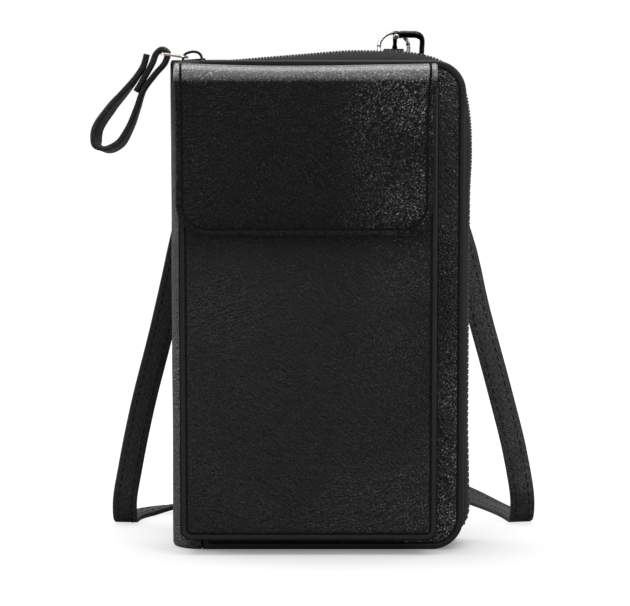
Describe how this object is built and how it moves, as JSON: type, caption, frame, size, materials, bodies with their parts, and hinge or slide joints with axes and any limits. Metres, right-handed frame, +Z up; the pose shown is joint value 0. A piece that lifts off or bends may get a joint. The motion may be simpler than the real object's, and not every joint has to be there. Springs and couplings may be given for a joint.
{
  "type": "zip-around phone wallet",
  "caption": "Black leather zip-around phone wallet with a flap pocket, finger loop, D-rings and a clip-on shoulder strap.",
  "frame": {"origin": "middle of the back cover's bottom edge, on the surface that the wallet stands on", "axes": "+Z up along the wallet's height, +Y out of the back cover, +X towards the zip's free edge"},
  "size_m": [0.1794, 0.1415, 0.2038],
  "materials": {
    "leather": "black grained leather, satin",
    "lining": "black woven lining",
    "tape": "black woven zip tape",
    "coil": "black zip coil",
    "gunmetal": "dark gunmetal plate",
    "nickel": "polished nickel",
    "gold": "pale gold plate",
    "iron": "plain steel and magnet"
  },
  "bodies": {
    "back_half": {"page_strip": "lining", "back_cover": "leather", "spine": "leather", "back_lining": "lining", "back_card_slot_1": "leather", "back_card_slot_2": "leather", "back_card_slot_3": "leather", "gusset_top": "lining", "gusset_bottom": "lining", "back_tape": "tape", "back_teeth": "coil", "zip_stop": "nickel", "ring_tab_left": "leather", "ring_tab_right": "leather", "eye_left": "gunmetal", "eye_right": "gunmetal", "strap_end_left": "leather", "strap_end_right": "leather", "rivet_left": "gunmetal", "rivet_right": "gunmetal", "strap_left": "leather", "strap_right": "leather", "strap_roll": "leather"},
    "front_half": {"front_cover": "leather", "front_lining": "lining", "front_card_slot_1": "leather", "front_card_slot_2": "leather", "front_tape": "tape", "front_teeth": "coil", "pocket_panel": "leather", "pocket_gusset": "leather", "magnet_plate": "iron"},
    "flap": {"flap_shell": "leather", "flap_lining": "lining", "flap_magnet": "iron"},
    "zip_slider": {"zip_slider": "gunmetal"},
    "pull_tab": {"pull_tab": "gold"},
    "finger_loop": {"finger_loop": "leather"},
    "ring_right": {"d_ring_right": "nickel"},
    "ring_left": {"d_ring_left": "nickel"},
    "hook_right": {"hook_right": "gunmetal", "gate_pin_right": "nickel"},
    "hook_left": {"hook_left": "gunmetal", "gate_pin_left": "nickel"},
    "gate_right": {"gate_right": "gunmetal"},
    "gate_left": {"gate_left": "gunmetal"},
    "coin_page": {"coin_pouch": "lining", "coin_zip": "coil"},
    "coin_slider": {"coin_slider": "nickel"},
    "coin_pull": {"coin_pull": "nickel"}
  },
  "joints": [
    {"name": "front_opening", "type": "hinge", "parent": "back_half", "child": "front_half", "pos_m": [-0.057, -0.021, 0.095], "axis": [0, 0, -1], "range_deg": [0, 70], "deforming": ["spine", "gusset_top", "gusset_bottom"]},
    {"name": "coin_page_turn", "type": "hinge", "parent": "back_half", "child": "coin_page", "pos_m": [-0.044, -0.01, 0.09], "axis": [0, 0, -1], "range_deg": [0, 35]},
    {"name": "flap_lift", "type": "hinge", "parent": "front_half", "child": "flap", "pos_m": [-0.0055, -0.022, 0.1898], "axis": [-1, 0, 0], "range_deg": [0, 95]},
    {"name": "zip_travel", "type": "slide", "parent": "back_half", "child": "zip_slider", "axis": [0.9966, 0, 0.0819], "range_m": [0, 0.05], "deforming": ["finger_loop"]},
    {"name": "tab_tilt", "type": "hinge", "parent": "zip_slider", "child": "pull_tab", "pos_m": [-0.05106, -0.01, 0.19249], "axis": [0, 1, 0], "range_deg": [0, 25]},
    {"name": "loop_swing", "type": "hinge", "parent": "pull_tab", "child": "finger_loop", "pos_m": [-0.06089, -0.01, 0.19438], "axis": [0, 1, 0], "range_deg": [-10, 35]},
    {"name": "ring_right_swing", "type": "hinge", "parent": "back_half", "child": "ring_right", "pos_m": [0.0295, 0.0002, 0.1943], "axis": [-1, 0, 0], "range_deg": [0, 5]},
    {"name": "ring_left_swing", "type": "hinge", "parent": "back_half", "child": "ring_left", "pos_m": [-0.035, 0.0033, 0.1875], "axis": [-1, 0, 0], "range_deg": [0, 3]},
    {"name": "hook_right_swivel", "type": "hinge", "parent": "back_half", "child": "hook_right", "pos_m": [0.0353, -0.00369, 0.203], "axis": [0, 0.7071, -0.7071], "range_deg": [-4, 2]},
    {"name": "hook_left_swivel", "type": "hinge", "parent": "back_half", "child": "hook_left", "pos_m": [-0.035, 0.01234, 0.18679], "axis": [-0.2924, 0, -0.9563], "range_deg": [-7, 7]},
    {"name": "gate_right_press", "type": "hinge", "parent": "hook_right", "child": "gate_right", "pos_m": [0.0304, -0.00252, 0.20184], "axis": [0, -0.7071, -0.7071], "range_deg": [0, 12], "stiffness_Nm_per_rad": 0.002},
    {"name": "gate_left_press", "type": "hinge", "parent": "hook_left", "child": "gate_left", "pos_m": [-0.03548, 0.01724, 0.18521], "axis": [-0.9563, 0, 0.2924], "range_deg": [0, 12], "stiffness_Nm_per_rad": 0.002},
    {"name": "coin_zip_travel", "type": "slide", "parent": "coin_page", "child": "coin_slider", "axis": [1, 0, 0], "range_m": [0, 0.058]},
    {"name": "coin_pull_swing", "type": "hinge", "parent": "coin_slider", "child": "coin_pull", "pos_m": [-0.02975, -0.0142, 0.1498], "axis": [0, 1, 0], "range_deg": [-40, 60]}
  ],
  "couplings": [
    {"joint": "coin_page_turn", "follows": "front_opening", "ratio": 0.5}
  ]
}
